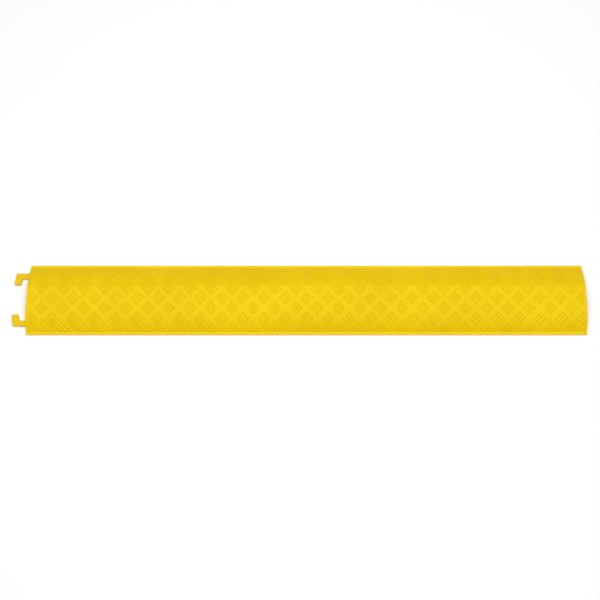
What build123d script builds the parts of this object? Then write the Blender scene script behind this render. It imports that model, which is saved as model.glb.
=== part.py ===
"""Drop-over cable protector ramp: one moulded cover with a cable channel underneath, two link
hooks that tie it to the next unit, the screws that hold the hooks, and rubber anti-slip strips.

X runs along the cable, with the hooks at the -X end, Y across the ramp, with the front at -Y,
and Z up. The origin is on the ground, in the middle of the whole object. Millimetres.
"""

from build123d import *
import math
import os

# Driving dimensions of the cover
LENGTH = 1000.0
OVERALL_LENGTH = 1027.3  # with the link hooks
WIDTH = 130.0
HEIGHT = 20.0  # ground to the top of the tread bars
GROUND_GAP = 0.4  # the rubber strips hold the moulding this far off the ground
BAR_HEIGHT = 1.0
LIP_WIDTH = 5.0  # flat ledge along each long edge
LIP_TOP = 3.0
LIP_CHAMFER = 0.6
CREST_HALF_WIDTH = 21.0  # flat walking surface on top
SLOPE_BULGE = 2.0  # how far each ramp face bows out from its chord
SKIN = 4.0
CORNER_ROUND = 1.5
OVERCUT = 1.0  # how far a cutting shape reaches past the faces that it opens

# Cable channel along the middle of the underside
CHANNEL_WIDTH = 32.0
CHANNEL_HEIGHT = 13.0
CHANNEL_ROUND = 2.5
CHANNEL_WALL = 4.5

# Pockets between the ribs of the underside
RIB = 3.0
POCKET_COUNT = 24
POCKET_INSETS = (50.0, 35.0)  # solid ends, at the hooks and at the sockets
INNER_POCKET = (CHANNEL_WIDTH / 2 + CHANNEL_WALL, 34.0)  # distances from the centre line
OUTER_POCKET = (INNER_POCKET[1] + RIB, 49.0)

# Tread: rows of patches of three bars, which slant one way and the other in turn
TREAD_PITCH = 37.75
TREAD_ROWS = (-53.2, -36.6, -18.9, -1.3, 16.3, 34.0, 51.0)
TREAD_MARGIN_X = 5.0
TREAD_MARGIN_Y = 5.5
BAR_LENGTH = 18.0
BAR_WIDTH = 3.0
BAR_PITCH = 5.9
BARS = 3
BAR_ROOT = 1.0  # how deep the bars are rooted in the skin

# Link hooks, as distances from the centre line and outwards from the left end face
HOOK_BOTTOM = 0.8
HOOK_THICKNESS = 4.8
ARM_INNER, ARM_OUTER = 39.4, 49.1
ARM_REACH, TIP_REACH = 24.5, 27.6  # the outer edge leans outwards towards the tip
THROAT, THROAT_AT_TIP = 14.0, 15.5  # and so does the inner edge
TIP_END = 27.8
HOOK_ROUND = 2.0
HOOK_CHAMFER = 0.6
SHANK_INNER, SHANK_OUTER = 35.0, ARM_OUTER
SHANK_LENGTH = 38.0
END_WALL = 6.0  # the arm passes through this wall and the wider shank is caught behind it
HOOK_CLEARANCE = 0.15

# Sockets at the right end, for the hooks of the next unit
SOCKET_WALL = 12.8  # end wall that a hook reaches round
SOCKET_LENGTH = 16.4
SOCKET_INNER, SOCKET_OUTER = 26.9, 50.0
SOCKET_CLEARANCE = 0.9
SOCKET_TOP = 6.6

# Hook screws, pan head with a cross recess
SCREW_DIAMETER = 4.0
SCREW_LENGTH = 7.0
SCREW_HEAD_DIAMETER = 7.0
SCREW_HEAD_HEIGHT = 2.2
SCREW_HEAD_ROUND = 0.8
SCREW_POINT = 0.8
SCREW_SEAT = 3.2  # height of the face that the head pulls against
SCREW_INSETS = (15.0, 34.0)  # from the left end face
SCREW_HOLE_DIAMETER = 4.4
COUNTERBORE_DIAMETER = 8.0
RECESS_LENGTH, RECESS_WIDTH, RECESS_DEPTH = 4.0, 0.9, 1.2

# Rubber anti-slip strips under the two long edges
STRIP_COUNT = 5  # on each side
STRIP_LENGTH = 160.0
STRIP_WIDTH = 7.0
STRIP_THICKNESS = 1.8
STRIP_CENTRE = 55.0  # from the centre line
STRIP_INSET = 130.0  # end face to the middle of the nearest strip

middle = (OVERALL_LENGTH - LENGTH) / 2  # of the cover; the hooks put it off the origin
left_end = middle - LENGTH / 2
right_end = middle + LENGTH / 2
crest = HEIGHT - BAR_HEIGHT
slope_foot = WIDTH / 2 - LIP_WIDTH
hook_top = HOOK_BOTTOM + HOOK_THICKNESS
arm_middle = (ARM_INNER + ARM_OUTER) / 2
socket_middle = (SOCKET_INNER + SOCKET_OUTER) / 2
shank_middle = (SHANK_INNER + SHANK_OUTER) / 2
pocket_middle = middle + (POCKET_INSETS[0] - POCKET_INSETS[1]) / 2
pocket_pitch = (LENGTH - sum(POCKET_INSETS) + RIB) / POCKET_COUNT
strip_pitch = (LENGTH - 2 * STRIP_INSET) / (STRIP_COUNT - 1)
screw_places = [
    (left_end + inset, side * shank_middle) for side in (-1, 1) for inset in SCREW_INSETS
]
strip_places = [left_end + STRIP_INSET + n * strip_pitch for n in range(STRIP_COUNT)]
sides = {"front": -1, "rear": 1}
os.makedirs("parts", exist_ok=True)


def ramp_section(lift=0.0, bottom=GROUND_GAP):
    """The ramp's cross-section, with its upper outline raised by lift, down to bottom."""
    chord = math.hypot(slope_foot - CREST_HALF_WIDTH, crest - LIP_TOP)
    bow_y = (slope_foot + CREST_HALF_WIDTH) / 2 + SLOPE_BULGE * (crest - LIP_TOP) / chord
    bow_z = (crest + LIP_TOP) / 2 + SLOPE_BULGE * (slope_foot - CREST_HALF_WIDTH) / chord + lift
    shoulder = (CREST_HALF_WIDTH, crest + lift)
    foot = (slope_foot, LIP_TOP + lift)
    with BuildSketch() as section:
        with BuildLine():
            Line((0, crest + lift), shoulder)
            ThreePointArc(shoulder, (bow_y, bow_z), foot)
            Polyline(
                foot,
                (WIDTH / 2 - LIP_CHAMFER, LIP_TOP + lift),
                (WIDTH / 2, LIP_TOP - LIP_CHAMFER + lift),
                (WIDTH / 2, bottom),
                (0, bottom),
            )
            mirror(about=Plane.YZ)
        make_face()
    return section.sketch


def tread_places(row):
    """X of each patch in a row, from the middle; every other row sits half a pitch along."""
    reach = int(LENGTH / 2 / TREAD_PITCH)
    if row % 2:
        return [n * TREAD_PITCH for n in range(-reach, reach + 1)]
    return [(n + 0.5) * TREAD_PITCH for n in range(-reach, reach)]


def tread_patch(x, row):
    """The bars of one patch, rooted in the ramp's surface and trimmed to the tread's margins."""
    turn = 45 if row % 2 else -45
    with BuildPart() as patch:
        with BuildSketch():
            with Locations(Location((x, TREAD_ROWS[row]), turn)):
                with GridLocations(0, BAR_PITCH, 1, BARS):
                    Rectangle(BAR_LENGTH, BAR_WIDTH)
            with Locations((middle, 0)):
                Rectangle(
                    LENGTH - 2 * TREAD_MARGIN_X, WIDTH - 2 * TREAD_MARGIN_Y, mode=Mode.INTERSECT
                )
        extrude(amount=HEIGHT + OVERCUT)
        with BuildSketch(Plane.YZ.offset(left_end)):
            add(ramp_section(BAR_HEIGHT))
        extrude(amount=LENGTH, mode=Mode.INTERSECT)
        with BuildSketch(Plane.YZ.offset(left_end)):
            add(ramp_section(-BAR_ROOT, bottom=-HEIGHT))
        extrude(amount=LENGTH, mode=Mode.SUBTRACT)
    return patch.part


# Tread bars: whole patches are copies of one, and those at the ends are trimmed
with BuildPart() as tread:
    for row in range(len(TREAD_ROWS)):
        places = tread_places(row)
        whole = [x for x in places if abs(x) + BAR_LENGTH < LENGTH / 2 - TREAD_MARGIN_X]
        with Locations(*[(middle + x, 0) for x in whole]):
            add(tread_patch(0, row))
        for x in [x for x in places if x not in whole]:
            add(tread_patch(middle + x, row))

# Hollows of the underside, between the ribs; their roofs run one skin below the ramp's surface
with BuildPart() as pockets:
    with BuildSketch(Plane.XY.offset(-OVERCUT)):
        for side in sides.values():
            for inner, outer in (INNER_POCKET, OUTER_POCKET):
                with Locations((pocket_middle, side * (inner + outer) / 2)):
                    with GridLocations(pocket_pitch, 0, POCKET_COUNT, 1):
                        Rectangle(pocket_pitch - RIB, outer - inner)
    extrude(amount=HEIGHT)
    with BuildSketch(Plane.YZ.offset(left_end)):
        add(ramp_section(-SKIN, bottom=-HEIGHT))
    extrude(amount=LENGTH, mode=Mode.INTERSECT)

# Cover
with BuildPart() as cover:
    with BuildSketch(Plane.YZ.offset(left_end)):
        add(ramp_section())
    extrude(amount=LENGTH)
    fillet(edges().filter_by(Axis.Z), CORNER_ROUND)
    with BuildSketch(Plane.YZ.offset(left_end)) as channel:
        with Locations((0, CHANNEL_HEIGHT / 2)):
            Rectangle(CHANNEL_WIDTH, CHANNEL_HEIGHT)
        fillet(channel.vertices().group_by(Axis.Y)[-1], CHANNEL_ROUND)
    extrude(amount=LENGTH, mode=Mode.SUBTRACT)
    add(pockets.part, mode=Mode.SUBTRACT)

    # Recesses for the hooks' shanks, and slots for their arms through the left end wall
    with BuildSketch(Plane.XY.offset(-OVERCUT)):
        for side in sides.values():
            with Locations((left_end + END_WALL + SHANK_LENGTH / 2, side * shank_middle)):
                Rectangle(
                    SHANK_LENGTH + 2 * HOOK_CLEARANCE,
                    SHANK_OUTER - SHANK_INNER + 2 * HOOK_CLEARANCE,
                )
            with Locations((left_end + END_WALL / 2, side * arm_middle)):
                Rectangle(END_WALL + OVERCUT, ARM_OUTER - ARM_INNER + 2 * HOOK_CLEARANCE)
    extrude(amount=hook_top + OVERCUT, mode=Mode.SUBTRACT)

    # Sockets for the next unit's hooks: a slot through the end wall and a pocket behind it
    with BuildSketch(Plane.XY.offset(-OVERCUT)):
        for side in sides.values():
            with Locations((right_end, side * arm_middle)):
                Rectangle(
                    2 * (SOCKET_WALL + OVERCUT),
                    ARM_OUTER - ARM_INNER + 2 * SOCKET_CLEARANCE,
                )
            with Locations((right_end - SOCKET_WALL - SOCKET_LENGTH / 2, side * socket_middle)):
                Rectangle(SOCKET_LENGTH, SOCKET_OUTER - SOCKET_INNER)
    extrude(amount=SOCKET_TOP + OVERCUT, mode=Mode.SUBTRACT)

    # Blind holes that the hook screws cut their threads in
    with Locations(*[(x, y, SCREW_SEAT) for x, y in screw_places]):
        Cylinder(
            SCREW_DIAMETER / 2,
            SCREW_LENGTH,
            align=(Align.CENTER, Align.CENTER, Align.MIN),
            mode=Mode.SUBTRACT,
        )

    # Grooves for the anti-slip strips
    with BuildSketch(Plane.XY.offset(-OVERCUT)):
        for side in sides.values():
            with Locations((middle, side * STRIP_CENTRE)):
                with GridLocations(strip_pitch, 0, STRIP_COUNT, 1):
                    Rectangle(STRIP_LENGTH, STRIP_WIDTH)
    extrude(amount=STRIP_THICKNESS + OVERCUT, mode=Mode.SUBTRACT)

    add(tread.part)
cover.part.label = "cover"
export_step(cover.part, "parts/cover.step")

# Link hooks
for name, side in sides.items():
    with BuildPart() as hook:
        with BuildSketch(Plane.XY.offset(HOOK_BOTTOM)) as plan:
            with BuildLine():
                Polyline(
                    (left_end + END_WALL + SHANK_LENGTH, side * SHANK_INNER),
                    (left_end + END_WALL + HOOK_CLEARANCE, side * SHANK_INNER),
                    (left_end + END_WALL + HOOK_CLEARANCE, side * ARM_INNER),
                    (left_end - THROAT, side * ARM_INNER),
                    (left_end - THROAT_AT_TIP, side * TIP_END),
                    (left_end - TIP_REACH, side * TIP_END),
                    (left_end - ARM_REACH, side * ARM_OUTER),
                    (left_end + END_WALL + SHANK_LENGTH, side * SHANK_OUTER),
                    close=True,
                )
            make_face()
            fillet(plan.vertices().filter_by(lambda v: v.X < left_end), HOOK_ROUND)
        extrude(amount=HOOK_THICKNESS)
        rims = faces().filter_by(Axis.Z).edges()
        chamfer(rims.filter_by(lambda e: e.center().X < left_end), HOOK_CHAMFER)
        holes = [(x, y) for x, y in screw_places if y * side > 0]
        with Locations(*[Plane((x, y, HOOK_BOTTOM), z_dir=(0, 0, -1)) for x, y in holes]):
            CounterBoreHole(
                SCREW_HOLE_DIAMETER / 2, COUNTERBORE_DIAMETER / 2, SCREW_SEAT - HOOK_BOTTOM
            )
    hook.part.label = f"link_hook_{name}"
    export_step(hook.part, f"parts/link_hook_{name}.step")

# Hook screws, head down
for number, (x, y) in enumerate(screw_places, start=1):
    with BuildPart() as screw:
        with BuildSketch(Plane((x, y, 0), x_dir=(1, 0, 0), z_dir=(0, -1, 0))):
            with BuildLine():
                head, shaft = SCREW_HEAD_DIAMETER / 2, SCREW_DIAMETER / 2
                Polyline(
                    (0, SCREW_SEAT - SCREW_HEAD_HEIGHT),
                    (head, SCREW_SEAT - SCREW_HEAD_HEIGHT),
                    (head, SCREW_SEAT),
                    (shaft, SCREW_SEAT),
                    (shaft, SCREW_SEAT + SCREW_LENGTH - SCREW_POINT),
                    (shaft - SCREW_POINT, SCREW_SEAT + SCREW_LENGTH),
                    (0, SCREW_SEAT + SCREW_LENGTH),
                    close=True,
                )
            make_face()
        revolve(axis=Axis((x, y, 0), (0, 0, 1)))
        fillet(edges().group_by(Axis.Z)[0], SCREW_HEAD_ROUND)
        with BuildSketch(Plane.XY.offset(SCREW_SEAT - SCREW_HEAD_HEIGHT)):
            with Locations((x, y)):
                Rectangle(RECESS_LENGTH, RECESS_WIDTH)
                Rectangle(RECESS_WIDTH, RECESS_LENGTH)
        extrude(amount=RECESS_DEPTH, mode=Mode.SUBTRACT)
    screw.part.label = f"hook_screw_{number}"
    export_step(screw.part, f"parts/hook_screw_{number}.step")

# Anti-slip strips
for name, side in sides.items():
    for number, x in enumerate(strip_places, start=1):
        with BuildPart() as strip:
            with BuildSketch():
                with Locations((x, side * STRIP_CENTRE)):
                    Rectangle(STRIP_LENGTH, STRIP_WIDTH)
            extrude(amount=STRIP_THICKNESS)
        strip.part.label = f"grip_strip_{name}_{number}"
        export_step(strip.part, f"parts/grip_strip_{name}_{number}.step")
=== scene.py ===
"""Cable protector ramp: its visual model, materials, floor, light and camera.

The mesh code works in millimetres, with X from the middle of the cover, Y across the ramp and Z
from the ground. Skin.object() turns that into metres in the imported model's frame.
"""

import math

import bmesh
import bpy
import numpy as np
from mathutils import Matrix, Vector
from mathutils.geometry import delaunay_2d_cdt


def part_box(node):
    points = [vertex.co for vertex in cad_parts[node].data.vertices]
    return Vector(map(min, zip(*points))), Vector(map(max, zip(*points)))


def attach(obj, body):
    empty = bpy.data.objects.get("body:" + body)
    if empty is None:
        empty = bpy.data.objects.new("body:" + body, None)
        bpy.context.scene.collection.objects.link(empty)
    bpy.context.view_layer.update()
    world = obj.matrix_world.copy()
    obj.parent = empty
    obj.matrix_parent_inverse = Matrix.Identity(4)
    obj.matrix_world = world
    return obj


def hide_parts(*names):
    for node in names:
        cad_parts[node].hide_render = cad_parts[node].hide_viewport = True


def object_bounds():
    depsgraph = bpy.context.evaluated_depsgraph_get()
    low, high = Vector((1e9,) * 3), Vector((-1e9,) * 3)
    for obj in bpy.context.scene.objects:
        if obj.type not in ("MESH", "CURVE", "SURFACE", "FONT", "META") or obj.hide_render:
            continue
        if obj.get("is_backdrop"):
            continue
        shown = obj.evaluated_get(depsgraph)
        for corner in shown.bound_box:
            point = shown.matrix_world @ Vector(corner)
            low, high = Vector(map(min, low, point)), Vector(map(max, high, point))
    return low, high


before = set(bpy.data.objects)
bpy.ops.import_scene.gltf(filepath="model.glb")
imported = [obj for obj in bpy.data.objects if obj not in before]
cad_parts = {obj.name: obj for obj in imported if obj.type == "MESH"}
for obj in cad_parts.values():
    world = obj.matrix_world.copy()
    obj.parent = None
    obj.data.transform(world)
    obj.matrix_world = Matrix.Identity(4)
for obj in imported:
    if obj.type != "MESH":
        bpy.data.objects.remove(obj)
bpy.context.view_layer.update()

MM = 0.001

# The cover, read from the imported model
cover_low, cover_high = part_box("cover")
MIDDLE = (cover_low.x + cover_high.x) / 2 / MM
HALF_LENGTH = (cover_high.x - cover_low.x) / 2 / MM
HALF_WIDTH = (cover_high.y - cover_low.y) / 2 / MM
TOP = cover_high.z / MM
BOTTOM = cover_low.z / MM

# Ramp section
BAR_HEIGHT = 1.0
CREST = TOP - BAR_HEIGHT
CREST_HALF_WIDTH = 21.0
FOOT = HALF_WIDTH - 5.0
LIP_TOP = 3.0
SLOPE_BULGE = 2.0
SKIN = 4.0
# Each of these roundings meets the one before it at a corner, so it has to be a little larger
END_EDGE = 0.75  # of the end faces
EDGE = 0.8  # of the lips, the channel and the notches
NOSE_ROUND = 0.85  # of the notches' corners in plan
EDGE_STEPS = 4
# Round an edge, as shares of its radius: how far it has risen, and how far it still has to run
EDGE_TURNS = [
    (1 - math.cos(turn), 1 - math.sin(turn))
    for turn in (k / EDGE_STEPS * math.pi / 2 for k in range(EDGE_STEPS + 1))
]
FOOT_FILLET = 1.5

# Tread
TREAD_PITCH = 37.75
TREAD_ROWS = (-53.2, -36.6, -18.9, -1.3, 16.3, 34.0, 51.0)
TREAD_MARGIN_X = 5.0
TREAD_MARGIN_Y = 5.5
BAR_LENGTH = 18.0
BAR_WIDTH = 3.0
BAR_PITCH = 5.9
BAR_ROUND = 1.2  # corner radius in plan
BAR_SECTION = (  # distance outside the bar's outline, and share of its height
    (0.75, 0.0),
    (0.45, 0.06),
    (0.2, 0.22),
    (-0.1, 0.52),
    (-0.45, 0.79),
    (-0.8, 0.95),
    (-1.1, 1.0),
)
BAR_GAP = 0.2  # from the bars' feet to the margin
BAR_CORNER_STEPS = 2
BAR_STEP = 5.4  # longest edge along a bar
GROUND_STEP = 5.0  # spacing of the points between the bars
SIDE_STEPS = 106  # along the cover's edges
END_STEPS = 20  # along each half of the ends

# Underside
CHANNEL_HALF_WIDTH = 16.0
CHANNEL_TOP = 13.0
CHANNEL_ROUND = 2.5
RIB = 3.0
POCKET_COUNT = 24
POCKET_INSETS = (50.0, 35.0)
POCKETS = ((20.5, 34.0), (37.0, 49.0))
POCKET_ROUND = 1.6
POCKET_EDGE = 0.5
POCKET_DRAFT = 0.3
POCKET_FILLET = 1.2
GROOVE_EDGE = 0.3
NOTCH_ROUND = 1.6
NOTCH_FILLET = 0.5
RECESS_DEPTHS = (5.85, 44.15)  # its shoulder and its far end, from the left end face
RECESS_SIDES = (39.25, 34.85, 49.25)  # slot's inner side, recess's inner side, outer side
RECESS_TOP = 5.6
SOCKET_DEPTHS = (12.8, 29.2)  # from the right end face
SOCKET_SIDES = (38.5, 26.9, 50.0)
SOCKET_TOP = 6.6

# Link hooks and their screws
HOOK_EDGE = 0.7
HOOK_ROUND = 2.0
HOOK_SHANK_ROUND = 1.3
HOOK_STEPS = 6
HOOK_GAP = 0.15
ARM_INNER = 39.4
ARM_REACH, TIP_REACH = 24.5, 27.6
THROAT, THROAT_AT_TIP = 14.0, 15.5
SHANK_INNER = 35.0
SCREW_SEAT = 3.2
SCREW_HOLE_RADIUS = 2.2
COUNTERBORE_RADIUS = 4.0
HOLE_CHAMFER = 0.25
CIRCLE_STEPS = 32
SCREWS = []
for node in sorted(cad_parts):
    if node.startswith("hook_screw"):
        low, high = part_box(node)
        SCREWS.append(((low.x + high.x) / 2 / MM - MIDDLE, (low.y + high.y) / 2 / MM))

# Anti-slip strips
STRIP_ROUND = 0.8
STRIP_GAP = 0.05  # to the walls of its groove
STRIP_RIDGES = 5
RIDGE_DEPTH = 0.35
RIDGE_FLANK = 0.2  # share of a ridge's width
STRIPS = [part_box(node) for node in sorted(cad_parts) if node.startswith("grip_strip_rear")]
STRIP_CENTRE = (STRIPS[0][0].y + STRIPS[0][1].y) / 2 / MM
STRIP_TOP = STRIPS[0][1].z / MM

# Real plastic reflects white; this tint keeps the highlights a deep yellow
HIGHLIGHT_TINT = (1, 0.95, 0.1, 1)

# Stage, in metres, degrees and watts
FLOOR_SIZE = 14.0
SKY = 0.3
OVERHEAD = 73.0
OVERHEAD_HEIGHT = 2.4
OVERHEAD_SIZE = (3.2, 3.0)
FLOOR_SHADE = (0.93, 0.93, 0.93, 1)
FLOOR_ROUGHNESS = 0.9
CAMERA_ELEVATION = 73.0
CAMERA_DISTANCE = 1.82
LENS = 60.6
SHIFT_X, SHIFT_Y = -0.0107, 0.0006


class Ramp:
    """The ramp's upper surface, by distance s measured along it from the centre line."""

    def __init__(self):
        run, drop = FOOT - CREST_HALF_WIDTH, CREST - LIP_TOP
        chord = math.hypot(run, drop)
        self.radius = (chord * chord / 4 + SLOPE_BULGE**2) / (2 * SLOPE_BULGE)
        self.first = math.atan2(drop, run) - math.asin(chord / 2 / self.radius)
        self.centre_y = CREST_HALF_WIDTH - self.radius * math.sin(self.first)
        self.centre_z = CREST - self.radius * math.cos(self.first)

    def along(self, y):
        """The distance s of the surface point at y."""
        if abs(y) <= CREST_HALF_WIDTH:
            return y
        turn = math.asin((abs(y) - self.centre_y) / self.radius) - self.first
        return math.copysign(CREST_HALF_WIDTH + self.radius * turn, y)

    def point(self, s, height=0.0):
        """(y, z) of the point at s, that height above the surface."""
        if abs(s) <= CREST_HALF_WIDTH:
            return s, CREST + height
        slope = self.first + (abs(s) - CREST_HALF_WIDTH) / self.radius
        reach = self.radius + height
        y = self.centre_y + reach * math.sin(slope)
        return math.copysign(y, s), self.centre_z + reach * math.cos(slope)

    def height(self, y):
        """z of the surface at y."""
        return self.point(self.along(y))[1]


RAMP = Ramp()


def rounded(corners, steps=4, closed=False):
    """A path through corners (u, v, radius), each turned by an arc of its radius."""
    path = []
    count = len(corners)
    for i, (u, v, radius) in enumerate(corners):
        here = Vector((u, v))
        if radius <= 0 or (not closed and i in (0, count - 1)):
            path.append(here)
            continue
        before = (Vector(corners[i - 1][:2]) - here).normalized()
        after = (Vector(corners[(i + 1) % count][:2]) - here).normalized()
        half = before.angle(after) / 2
        centre = here + (before + after).normalized() * radius / math.sin(half)
        start = here + before * radius / math.tan(half) - centre
        end = here + after * radius / math.tan(half) - centre
        turn = math.pi - 2 * half
        for k in range(steps + 1):
            t = k / steps
            mix = start * math.sin((1 - t) * turn) + end * math.sin(t * turn)
            path.append(centre + mix / math.sin(turn))
    return path


def shifted(path, distance, closed=True):
    """The path moved sideways by distance, to the left of its direction."""
    moved = []
    count = len(path)
    for i, point in enumerate(path):
        normals = []
        for a, b in ((i - 1, i), (i, i + 1)):
            if closed or (a >= 0 and b < count):
                along = (path[b % count] - path[a]).normalized()
                normals.append(Vector((-along.y, along.x)))
        if len(normals) == 1:
            moved.append(point + normals[0] * distance)
        else:
            both = normals[0] + normals[1]
            moved.append(point + both * (distance / (1 + normals[0].dot(normals[1]))))
    return moved


def triangles_between(loops, spots=()):
    """Triangles of the region between loops of plan points, with the spots as further corners.

    Returns the corners and the triangles. Counting the loops' edges that are crossed on the way
    in from outside tells the region, where the count is odd, from its holes."""
    points = [Vector(p) for loop in loops for p in loop] + list(spots)
    edges = []
    start = 0
    for loop in loops:
        edges += [(start + i, start + (i + 1) % len(loop)) for i in range(len(loop))]
        start += len(loop)
    corners, sides, triangles, _, origins, _ = delaunay_2d_cdt(points, edges, [], 0, 1e-5)
    walls = {frozenset(side) for side, origin in zip(sides, origins) if origin}
    beside = {}
    for index, triangle in enumerate(triangles):
        for i in range(3):
            beside.setdefault(frozenset((triangle[i - 1], triangle[i])), []).append(index)
    odd = {}
    front = [(found[0], side in walls) for side, found in beside.items() if len(found) == 1]
    while front:
        index, state = front.pop()
        if index in odd:
            continue
        odd[index] = state
        triangle = triangles[index]
        for i in range(3):
            side = frozenset((triangle[i - 1], triangle[i]))
            front += [(n, state != (side in walls)) for n in beside[side] if n not in odd]
    return corners, [triangle for index, triangle in enumerate(triangles) if odd[index]]


class Skin:
    """A surface that grows face by face; points in the same place are one vertex."""

    def __init__(self):
        self.mesh = bmesh.new()
        self.seen = {}
        self.wear = self.mesh.verts.layers.float.new("wear")

    def vertex(self, point, wear=0.0):
        key = tuple(round(c * 500) for c in point)
        if key not in self.seen:
            self.seen[key] = self.mesh.verts.new(point)
            self.seen[key][self.wear] = wear
        return self.seen[key]

    def face(self, points):
        corners = []
        for point in points:
            vertex = self.vertex(point)
            if vertex not in corners:
                corners.append(vertex)
        if len(corners) > 2 and self.mesh.faces.get(corners) is None:
            self.mesh.faces.new(corners)

    def ribbon(self, rings, closed=True):
        """Quads from each ring to the next."""
        for low, high in zip(rings, rings[1:]):
            count = len(low)
            for i in range(count if closed else count - 1):
                j = (i + 1) % count
                self.face((low[i], low[j], high[j], high[i]))

    def flat(self, loops, lift):
        """Triangles between loops of plan points, each lifted to a 3-D point."""
        corners, triangles = triangles_between(loops)
        for triangle in triangles:
            self.face([lift(corners[i]) for i in triangle])

    def object(self, name, smooth_angle=math.radians(40)):
        """The finished piece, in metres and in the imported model's frame."""
        bmesh.ops.recalc_face_normals(self.mesh, faces=self.mesh.faces)
        open_edges = sum(not edge.is_manifold for edge in self.mesh.edges)
        print(name, len(self.mesh.verts), "points", open_edges, "open edges")
        for vertex in self.mesh.verts:
            x, y, z = vertex.co
            vertex.co = ((MIDDLE + x) * MM, y * MM, z * MM)
        for face in self.mesh.faces:
            face.smooth = True
        data = bpy.data.meshes.new(name)
        self.mesh.to_mesh(data)
        self.mesh.free()
        data.set_sharp_from_angle(angle=smooth_angle)
        piece = bpy.data.objects.new(name, data)
        bpy.context.scene.collection.objects.link(piece)
        weighted = piece.modifiers.new("even_shading", "WEIGHTED_NORMAL")
        weighted.keep_sharp = True
        return piece


def clipped(polygon, reach_x, reach_s):
    """A convex polygon cut to |x| <= reach_x and |s| <= reach_s."""
    for axis, sign, reach in ((0, 1, reach_x), (0, -1, reach_x), (1, 1, reach_s), (1, -1, reach_s)):
        kept = []
        for a, b in zip(polygon, polygon[1:] + polygon[:1]):
            depth_a, depth_b = reach - sign * a[axis], reach - sign * b[axis]
            if depth_a >= 0:
                kept.append(a)
            if depth_a * depth_b < 0:
                kept.append(a.lerp(b, depth_a / (depth_a - depth_b)))
        polygon = kept
    return polygon


def tread_patches():
    """(x, s, direction of the bars) of every patch; every other row sits half a pitch along."""
    reach = int(HALF_LENGTH / TREAD_PITCH)
    patches = []
    for row, y in enumerate(TREAD_ROWS):
        shift, lean = (0.0, 1) if row % 2 else (0.5, -1)
        direction = Vector((1, lean)).normalized()
        for n in range(-reach, reach + (0 if shift else 1)):
            patches.append((Vector(((n + shift) * TREAD_PITCH, RAMP.along(y))), direction))
    return patches


def bar_cores():
    """The core polygon of every tread bar in (x, s): its outline, less its corner radius."""
    half_length = BAR_LENGTH / 2 - BAR_ROUND
    half_width = BAR_WIDTH / 2 - BAR_ROUND
    reach_x = HALF_LENGTH - TREAD_MARGIN_X - BAR_ROUND
    reach_s = RAMP.along(HALF_WIDTH - TREAD_MARGIN_Y) - BAR_ROUND - BAR_SECTION[0][0] - BAR_GAP
    cores = []
    for centre, along in tread_patches():
        across = Vector((-along.y, along.x))
        for k in (-1, 0, 1):
            middle = centre + across * k * BAR_PITCH
            core = [
                middle + along * i * half_length + across * j * half_width
                for i, j in ((-1, -1), (1, -1), (1, 1), (-1, 1))
            ]
            core = clipped(core, reach_x, reach_s)
            if len(core) > 2 and (core[0] - core[2]).length > BAR_WIDTH:
                cores.append(core)
    return cores


def bar_ring(core, distance):
    """The outline at a distance round a core polygon, with arcs at its corners."""
    ring = []
    count = len(core)
    for i, point in enumerate(core):
        before = (point - core[i - 1]).normalized()
        after = (core[(i + 1) % count] - point).normalized()
        first = math.atan2(-before.x, before.y)
        turn = -before.angle_signed(after)
        for k in range(BAR_CORNER_STEPS + 1):
            angle = first + turn * k / BAR_CORNER_STEPS
            ring.append(point + Vector((math.cos(angle), math.sin(angle))) * distance)
        length = (core[(i + 1) % count] - point).length
        pieces = max(1, math.ceil(length / BAR_STEP))
        start = ring[-1]
        for k in range(1, pieces):
            ring.append(start + after * length * k / pieces)
    return ring


def add_top(skin, stations, side):
    """The upper surface between s = -side and side, with the tread bars fused into it."""
    across = [side * t for t in np.linspace(-1, 1, END_STEPS * 2 + 1)]
    loop = [(x, -side) for x in stations[:-1]]
    loop += [(stations[-1], s) for s in across[:-1]]
    loop += [(x, side) for x in stations[:0:-1]]
    loop += [(stations[0], s) for s in across[:0:-1]]
    cores = bar_cores()
    loops = [loop]
    loops += [bar_ring(core, BAR_ROUND + BAR_SECTION[0][0]) for core in cores]

    def lift(point, height=0.0):
        return (point.x, *RAMP.point(point.y, height))

    corners, triangles = triangles_between(loops, ground_points(side))
    for triangle in triangles:
        skin.face([lift(corners[i]) for i in triangle])

    for core in cores:
        rings = []
        for distance, share in BAR_SECTION:
            ring = bar_ring(core, BAR_ROUND + distance)
            rings.append([lift(p, share * BAR_HEIGHT) for p in ring])
            for point in rings[-1]:
                skin.vertex(point, wear=share)
        skin.ribbon(rings)
        skin.flat([ring], lambda p: lift(p, BAR_HEIGHT))
    return across


def ground_points(side):
    """Points between the tread bars: a grid, and a closer row along each edge of the crest."""
    spots = []
    rows = int(side / GROUND_STEP)
    columns = int((HALF_LENGTH - END_EDGE) / GROUND_STEP)
    for i in range(-columns, columns + 1):
        for j in range(-rows + 1, rows):
            if abs(abs(j * GROUND_STEP) - CREST_HALF_WIDTH) > GROUND_STEP / 3:
                spots.append(Vector((i * GROUND_STEP, j * GROUND_STEP)))
        for half in (-0.25, 0.25):
            for s in (-CREST_HALF_WIDTH, CREST_HALF_WIDTH):
                spots.append(Vector(((i + half) * GROUND_STEP, s)))
    room = BAR_ROUND
    free = np.ones(len(spots), bool)
    places = np.array(spots)
    for centre, along in tread_patches():
        near = np.where(np.abs(places - np.array(centre)).max(1) < BAR_LENGTH)[0]
        offset = places[near] - np.array(centre)
        u = offset @ np.array(along)
        v = offset @ np.array((-along.y, along.x))
        for k in (-1, 0, 1):
            hit = (np.abs(u) < BAR_LENGTH / 2 + room) & (
                np.abs(v - k * BAR_PITCH) < BAR_WIDTH / 2 + room
            )
            free[near[hit]] = False
    return [spot for spot, keep in zip(spots, free) if keep]


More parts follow.
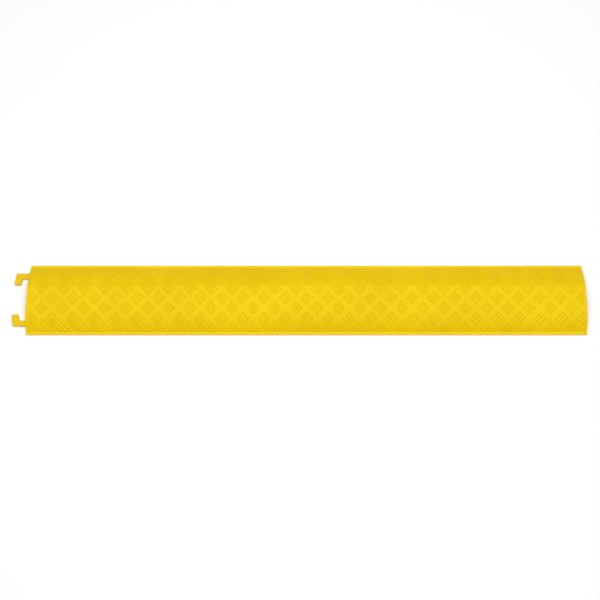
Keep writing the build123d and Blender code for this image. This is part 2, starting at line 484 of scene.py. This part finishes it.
def hollow(skin, path, closed, roof, side, edge, fillet, draft=0.0):
    """A hollow in the underside, on the left of its path: rounded rim, walls and roof.

    Returns both ends of each ring as (y, z), for a hollow that runs out of an end face."""
    rings = []
    for rise, run in EDGE_TURNS:
        ring = shifted(path, -edge * run, closed)
        rings.append([(p.x, side * p.y, BOTTOM + edge * rise) for p in ring])
    for rise, run in EDGE_TURNS:
        ring = shifted(path, draft + fillet * rise, closed)
        rings.append([(p.x, side * p.y, roof(p.y) - fillet * run) for p in ring])
    skin.ribbon(rings, closed)
    skin.flat([ring], lambda p: (p.x, side * p.y, roof(p.y)))
    return [(ring[0][1:], ring[-1][1:]) for ring in rings]


def pocket_roof(y):
    """z of the pockets' roofs at y, under an even skin."""
    return RAMP.height(y) - SKIN


def notch_path(end, depths, sides):
    """An L-shaped path from an end of the cover: a slot, and a wider hollow behind its wall.

    The hollow lies on the left of the path; end is -1 or 1."""
    shoulder, far = (end * (HALF_LENGTH - depth) for depth in depths)
    slot, inner, outer = sides
    mouth = end * (HALF_LENGTH - END_EDGE)
    corners = [
        (mouth, slot, 0),
        (shoulder, slot, NOSE_ROUND),
        (shoulder, inner, NOTCH_ROUND),
        (far, inner, NOTCH_ROUND),
        (far, outer, NOTCH_ROUND),
        (mouth, outer, 0),
    ]
    return rounded(corners if end < 0 else corners[::-1])


def rectangle(x, y, length, width, radius, extra=0):
    """A rounded rectangle round (x, y), anticlockwise, with extra points on its short sides."""
    low, high = y - width / 2, y + width / 2
    between = [low + width * (n + 1) / (extra + 1) for n in range(extra)]
    left, right = x - length / 2, x + length / 2
    corners = [(left, low, radius), (right, low, radius)]
    corners += [(right, level, 0) for level in between]
    corners += [(right, high, radius), (left, high, radius)]
    corners += [(left, level, 0) for level in reversed(between)]
    return rounded(corners, closed=True)


def add_underside(skin, stations, side):
    """One half of the underside: the sole, its pockets and grooves and the two end notches.

    Returns the ends of the two notches' rings, for the end faces."""
    mouths = {}
    notch_rims = {}
    for end, depths, sides, top in (
        (-1, RECESS_DEPTHS, RECESS_SIDES, RECESS_TOP),
        (1, SOCKET_DEPTHS, SOCKET_SIDES, SOCKET_TOP),
    ):
        path = notch_path(end, depths, sides)
        mouths[end] = hollow(skin, path, False, lambda y, z=top: z, side, EDGE, NOTCH_FILLET)
        notch_rims[end] = shifted(path, -EDGE, closed=False)

    rims = []
    pitch = (2 * HALF_LENGTH - sum(POCKET_INSETS) + RIB) / POCKET_COUNT
    middle = (POCKET_INSETS[0] - POCKET_INSETS[1]) / 2
    for low, high in POCKETS:
        for n in range(POCKET_COUNT):
            x = middle + (n - (POCKET_COUNT - 1) / 2) * pitch
            path = rectangle(x, (low + high) / 2, pitch - RIB, high - low, POCKET_ROUND, extra=3)
            hollow(skin, path, True, pocket_roof, side, POCKET_EDGE, POCKET_FILLET, POCKET_DRAFT)
            rims.append(shifted(path, -POCKET_EDGE))
    for low, high in STRIPS:
        path = rectangle(
            (low.x + high.x) / 2 / MM - MIDDLE,
            STRIP_CENTRE,
            (high.x - low.x) / MM,
            (high.y - low.y) / MM,
            STRIP_ROUND,
        )
        hollow(skin, path, True, lambda y: STRIP_TOP, side, GROOVE_EDGE, 0.0)
        rims.append(shifted(path, -GROOVE_EDGE))

    channel = CHANNEL_HALF_WIDTH + EDGE
    outline = [Vector((stations[0], channel)), Vector((stations[-1], channel))]
    outline += notch_rims[1][::-1]
    outline += [Vector((x, HALF_WIDTH - EDGE)) for x in stations[::-1]]
    outline += notch_rims[-1][::-1]
    skin.flat([outline, *rims], lambda p: (p.x, side * p.y, BOTTOM))
    return mouths


def add_end(skin, end, half_loop):
    """An end face with its rounded edge, round the loop (y, z) and its mirror image."""
    loop = half_loop + [(-y, z) for y, z in half_loop[-2:0:-1]]
    loop = [Vector(p) for p in loop]
    rings = []
    for rise, run in EDGE_TURNS:
        x = end * (HALF_LENGTH - END_EDGE * run)
        ring = shifted(loop, -END_EDGE * rise)
        rings.append([(x, *p) for p in ring])
    skin.ribbon(rings)
    skin.flat([ring], lambda p: (end * HALF_LENGTH, p.x, p.y))


def make_cover():
    """The moulded cover, as one closed surface."""
    skin = Skin()
    end = HALF_LENGTH - END_EDGE
    stations = [float(x) for x in np.linspace(-end, end, SIDE_STEPS + 1)]
    side = RAMP.along(HALF_WIDTH - TREAD_MARGIN_Y)
    across = add_top(skin, stations, side)

    skirt = rounded(
        [
            (*RAMP.point(side), 0),
            (FOOT, LIP_TOP, FOOT_FILLET),
            (HALF_WIDTH, LIP_TOP, EDGE),
            (HALF_WIDTH, BOTTOM, EDGE),
            (0, BOTTOM, 0),
        ],
        EDGE_STEPS,
    )[:-1]
    channel = rounded(
        [
            (HALF_WIDTH, BOTTOM, 0),
            (CHANNEL_HALF_WIDTH, BOTTOM, EDGE),
            (CHANNEL_HALF_WIDTH, CHANNEL_TOP, CHANNEL_ROUND),
            (0, CHANNEL_TOP, 0),
        ],
        EDGE_STEPS,
    )[1:]
    for mirror in (-1, 1):
        skin.ribbon([[(x, mirror * y, z) for x in stations] for y, z in skirt], closed=False)
        walls = [[(x, mirror * y, z) for x in (stations[0], stations[-1])] for y, z in channel]
        skin.ribbon(walls, closed=False)
        mouths = add_underside(skin, stations, mirror)

    for end_side in (-1, 1):
        half_loop = [RAMP.point(s) for s in across if s > -1e-6]
        half_loop += [tuple(p) for p in skirt[1:]]
        inner = [mouth[0] for mouth in mouths[end_side]]
        outer = [mouth[1] for mouth in mouths[end_side]]
        if end_side > 0:
            inner, outer = outer, inner
        half_loop += outer + inner[::-1]
        half_loop += [tuple(p) for p in channel]
        add_end(skin, end_side, half_loop)
    return skin.object("cover_moulding")


def make_hook(node):
    """A link hook: a flat plate round its plan outline, with two counterbored screw holes."""
    low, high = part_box(node)
    side = math.copysign(1, low.y)
    bottom, top = low.z / MM, high.z / MM
    shoulder = -HALF_LENGTH + RECESS_DEPTHS[0] + 2 * HOOK_GAP
    shank_end = high.x / MM - MIDDLE
    inner, outer = (abs(y) / MM for y in (low.y, high.y)[:: int(side)])
    outline = rounded(
        [
            (shank_end, SHANK_INNER, HOOK_SHANK_ROUND),
            (shank_end, outer, HOOK_SHANK_ROUND),
            (-HALF_LENGTH - ARM_REACH, outer, HOOK_ROUND),
            (-HALF_LENGTH - TIP_REACH, inner, HOOK_ROUND),
            (-HALF_LENGTH - THROAT_AT_TIP, inner, HOOK_ROUND),
            (-HALF_LENGTH - THROAT, ARM_INNER, HOOK_ROUND),
            (shoulder, ARM_INNER, HOOK_EDGE),
            (shoulder, SHANK_INNER, HOOK_SHANK_ROUND),
        ],
        HOOK_STEPS,
        closed=True,
    )
    skin = Skin()
    rings = []
    for rise, run in EDGE_TURNS:
        ring = shifted(outline, HOOK_EDGE * run)
        rings.append([(p.x, side * p.y, bottom + HOOK_EDGE * rise) for p in ring])
    rings += [[(x, y, top + bottom - z) for x, y, z in ring] for ring in reversed(rings)]
    skin.ribbon(rings)

    steps = (  # radius and height of each turn of the counterbore
        (COUNTERBORE_RADIUS + HOLE_CHAMFER, bottom),
        (COUNTERBORE_RADIUS, bottom + HOLE_CHAMFER),
        (COUNTERBORE_RADIUS, SCREW_SEAT),
        (SCREW_HOLE_RADIUS, SCREW_SEAT),
        (SCREW_HOLE_RADIUS, top),
    )
    holes = []
    for x, y in SCREWS:
        if y * side > 0:
            holes.append([circle(x, abs(y), radius) for radius, _ in steps])
            turns = zip(holes[-1], steps)
            skin.ribbon([[(p.x, side * p.y, z) for p in turn] for turn, (_, z) in turns])
    face = shifted(outline, HOOK_EDGE)
    skin.flat([face, *[turns[0] for turns in holes]], lambda p: (p.x, side * p.y, bottom))
    skin.flat([face, *[turns[-1] for turns in holes]], lambda p: (p.x, side * p.y, top))
    return skin.object(node + "_plate")


def circle(x, y, radius):
    """Points of a circle round (x, y)."""
    turns = [2 * math.pi * n / CIRCLE_STEPS for n in range(CIRCLE_STEPS)]
    return [Vector((x + radius * math.cos(t), y + radius * math.sin(t))) for t in turns]


def make_strip(node):
    """A rubber anti-slip strip with ridges along its sole and round corners in plan."""
    low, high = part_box(node)
    start, end = low.x / MM - MIDDLE + STRIP_GAP, high.x / MM - MIDDLE - STRIP_GAP
    middle = (low.y + high.y) / 2 / MM
    half_width = (high.y - low.y) / 2 / MM - STRIP_GAP
    ridge = 2 * half_width / STRIP_RIDGES
    section = [(half_width, STRIP_TOP), (-half_width, STRIP_TOP)]
    for n in range(STRIP_RIDGES):
        edge = -half_width + n * ridge
        flank = ridge * RIDGE_FLANK
        section += [
            (edge, RIDGE_DEPTH),
            (edge + flank, low.z / MM),
            (edge + ridge - flank, low.z / MM),
        ]
    section.append((half_width, RIDGE_DEPTH))
    skin = Skin()
    rings = []
    for rise, run in EDGE_TURNS:
        x = start + STRIP_ROUND * run
        narrow = 1 - STRIP_ROUND * rise / half_width
        rings.insert(0, [(x, middle + y * narrow, z) for y, z in section])
    rings += [[(start + end - x, y, z) for x, y, z in ring] for ring in reversed(rings)]
    skin.ribbon(rings)
    for x, ring in ((start, rings[0]), (end, rings[-1])):
        skin.flat([[p[1:] for p in ring]], lambda p, x=x: (x, *p))
    return skin.object(node + "_rubber", smooth_angle=math.radians(30))


class Material:
    """A node material under construction: links its nodes by name of socket."""

    def __init__(self, name):
        self.made = bpy.data.materials.new(name)
        self.made.use_nodes = True
        self.tree = self.made.node_tree
        self.shader = self.tree.nodes["Principled BSDF"]
        self.place = self.tree.nodes.new("ShaderNodeTexCoord").outputs["Object"]

    def node(self, kind, **settings):
        """A node with its settings: sockets by their name, and other properties in lower case."""
        made = self.tree.nodes.new(kind)
        for key, value in settings.items():
            if hasattr(made, key):
                setattr(made, key, value)
        for key, value in settings.items():
            if not hasattr(made, key):
                self.put(made.inputs[key.replace("_", " ")], value)
        return made

    def put(self, socket, value):
        if isinstance(value, bpy.types.NodeSocket):
            self.tree.links.new(value, socket)
        else:
            socket.default_value = value

    def noise(self, size, detail=2.0, roughness=0.5, stretch=(1, 1, 1)):
        """Noise whose features are about size metres across."""
        scaled = self.node("ShaderNodeMapping", Vector=self.place, Scale=stretch)
        made = self.node(
            "ShaderNodeTexNoise",
            Vector=scaled.outputs[0],
            Scale=1 / size,
            Detail=detail,
            Roughness=roughness,
        )
        return made.outputs["Fac"]

    def span(self, value, low, high, to_low=0.0, to_high=1.0):
        """Value mapped from low..high to to_low..to_high, and held there outside it."""
        made = self.node(
            "ShaderNodeMapRange",
            Value=value,
            From_Min=low,
            From_Max=high,
            To_Min=to_low,
            To_Max=to_high,
        )
        return made.outputs[0]

    def times(self, a, b):
        made = self.node("ShaderNodeMath", operation="MULTIPLY")
        self.put(made.inputs[0], a)
        self.put(made.inputs[1], b)
        return made.outputs[0]

    def mix(self, share, a, b):
        """Colours a and b, mixed by share."""
        made = self.node("ShaderNodeMix", data_type="RGBA")
        for name, value in (("Factor_Float", share), ("A_Color", a), ("B_Color", b)):
            self.put(next(i for i in made.inputs if i.identifier == name), value)
        return next(o for o in made.outputs if o.identifier == "Result_Color")

    def bump(self, height, depth, under=None):
        """A bump of that depth in metres, on top of another one."""
        made = self.node("ShaderNodeBump", Height=height, Distance=depth)
        if under is not None:
            self.put(made.inputs["Normal"], under)
        return made.outputs[0]


def moulding(name, colour, worn, deep):
    """Moulded polyurethane: satin, finely grained, a little paler where feet and wheels rub."""
    m = Material(name)
    wear = m.node("ShaderNodeAttribute", attribute_name="wear").outputs["Fac"]
    cloud = m.noise(0.09, detail=3)
    blotch = m.noise(0.012, detail=4, roughness=0.6)
    grain = m.noise(0.0011, detail=3, roughness=0.6)
    scuffs = m.noise(0.004, detail=5, roughness=0.7, stretch=(1, 0.25, 1))
    base = m.mix(m.span(cloud, 0.35, 0.65), colour, deep)
    base = m.mix(m.span(blotch, 0.45, 0.75, 0.0, 0.35), base, deep)
    rubbed = m.times(m.span(wear, 0.6, 1.0), m.span(scuffs, 0.5, 0.72, 0.0, 0.7))
    base = m.mix(rubbed, base, worn)
    m.put(m.shader.inputs["Base Color"], base)
    rough = m.span(blotch, 0.3, 0.7, 0.31, 0.38)
    m.put(m.shader.inputs["Roughness"], rough)
    m.put(m.shader.inputs["Specular IOR Level"], 0.5)
    m.put(m.shader.inputs["Specular Tint"], HIGHLIGHT_TINT)
    sink = m.bump(m.noise(0.03, detail=1), 0.0004)
    m.put(m.shader.inputs["Normal"], m.bump(grain, 0.00012, sink))
    return m.made


def rubber():
    """Extruded black rubber: matt, with fine streaks along the strip."""
    m = Material("strip_rubber")
    streaks = m.noise(0.0006, detail=2, stretch=(0.04, 1, 1))
    dust = m.noise(0.006, detail=4, roughness=0.65)
    clean, dusty = (0.018, 0.018, 0.019, 1), (0.06, 0.058, 0.054, 1)
    base = m.mix(m.span(dust, 0.45, 0.7, 0.0, 0.5), clean, dusty)
    m.put(m.shader.inputs["Base Color"], base)
    m.put(m.shader.inputs["Roughness"], m.span(dust, 0.3, 0.7, 0.68, 0.85))
    m.put(m.shader.inputs["Specular IOR Level"], 0.35)
    m.put(m.shader.inputs["Normal"], m.bump(streaks, 0.00006))
    return m.made


def stainless():
    """Turned stainless steel with faint drawing marks."""
    m = Material("screw_stainless")
    marks = m.noise(0.0003, detail=3, stretch=(1, 1, 0.1))
    tint = m.noise(0.002, detail=2)
    base = m.mix(m.span(tint, 0.3, 0.7), (0.56, 0.56, 0.55, 1), (0.66, 0.65, 0.63, 1))
    m.put(m.shader.inputs["Base Color"], base)
    m.put(m.shader.inputs["Metallic"], 1.0)
    m.put(m.shader.inputs["Roughness"], m.span(marks, 0.3, 0.7, 0.26, 0.42))
    m.put(m.shader.inputs["Normal"], m.bump(marks, 0.00002))
    return m.made


def plain(name, colour, roughness):
    """A plain surface for the floor."""
    m = Material(name)
    shade = m.noise(0.5, detail=2)
    m.put(m.shader.inputs["Base Color"], m.mix(shade, colour, [c * 0.99 for c in colour]))
    m.put(m.shader.inputs["Roughness"], roughness)
    return m.made


def add_light(name, place, aim, size, power):
    """A soft light at place, pointing at aim, of that size across and along."""
    data = bpy.data.lights.new(name, "AREA")
    data.shape = "RECTANGLE"
    data.size, data.size_y = size
    data.energy = power
    lamp = bpy.data.objects.new(name, data)
    lamp.location = place
    lamp.rotation_euler = (Vector(aim) - Vector(place)).to_track_quat("-Z", "Y").to_euler()
    bpy.context.scene.collection.objects.link(lamp)


def make_stage():
    """The floor, the lights and the camera."""
    bpy.ops.mesh.primitive_plane_add(size=FLOOR_SIZE, location=(0, 0, 0))
    floor = bpy.context.object
    floor.name = "floor"
    floor.data.materials.append(plain("floor_white", FLOOR_SHADE, FLOOR_ROUGHNESS))
    floor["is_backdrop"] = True

    scene = bpy.context.scene
    scene.view_settings.view_transform = "Standard"
    scene.world = bpy.data.worlds.new("studio")
    scene.world.use_nodes = True
    sky = scene.world.node_tree.nodes["Background"]
    sky.inputs["Color"].default_value = (1, 1, 1, 1)
    sky.inputs["Strength"].default_value = SKY
    middle = MIDDLE * MM
    above = (middle, 0, OVERHEAD_HEIGHT)
    add_light("overhead", above, (middle, 0, 0), OVERHEAD_SIZE, OVERHEAD)

    data = bpy.data.cameras.new("camera")
    data.sensor_width = 36
    data.lens = LENS
    data.shift_x = SHIFT_X
    data.shift_y = SHIFT_Y
    camera = bpy.data.objects.new("camera", data)
    tilt = math.radians(CAMERA_ELEVATION)
    back = Vector((0, -math.cos(tilt), math.sin(tilt)))
    camera.location = Vector((middle, 0, 0)) + back * CAMERA_DISTANCE
    camera.rotation_euler = (-back).to_track_quat("-Z", "Y").to_euler()
    scene.collection.objects.link(camera)
    scene.camera = camera


def finish_piece(piece, material, node):
    """Gives a new piece its material and body, in place of a CAD node."""
    piece.data.materials.append(material)
    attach(piece, "root")
    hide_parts(node)


make_stage()
yellow = moulding(
    "cover_yellow", (0.79, 0.54, 0.002, 1), (0.85, 0.62, 0.01, 1), (0.75, 0.50, 0.002, 1)
)
hook_yellow = moulding(
    "hook_yellow", (0.77, 0.49, 0.005, 1), (0.84, 0.60, 0.05, 1), (0.73, 0.45, 0.003, 1)
)
black = rubber()
steel = stainless()
finish_piece(make_cover(), yellow, "cover")
for node in sorted(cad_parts):
    if node.startswith("link_hook"):
        finish_piece(make_hook(node), hook_yellow, node)
    elif node.startswith("grip_strip"):
        finish_piece(make_strip(node), black, node)
    elif node.startswith("hook_screw"):
        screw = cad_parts[node]
        screw.data.materials.clear()
        screw.data.materials.append(steel)

low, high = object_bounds()
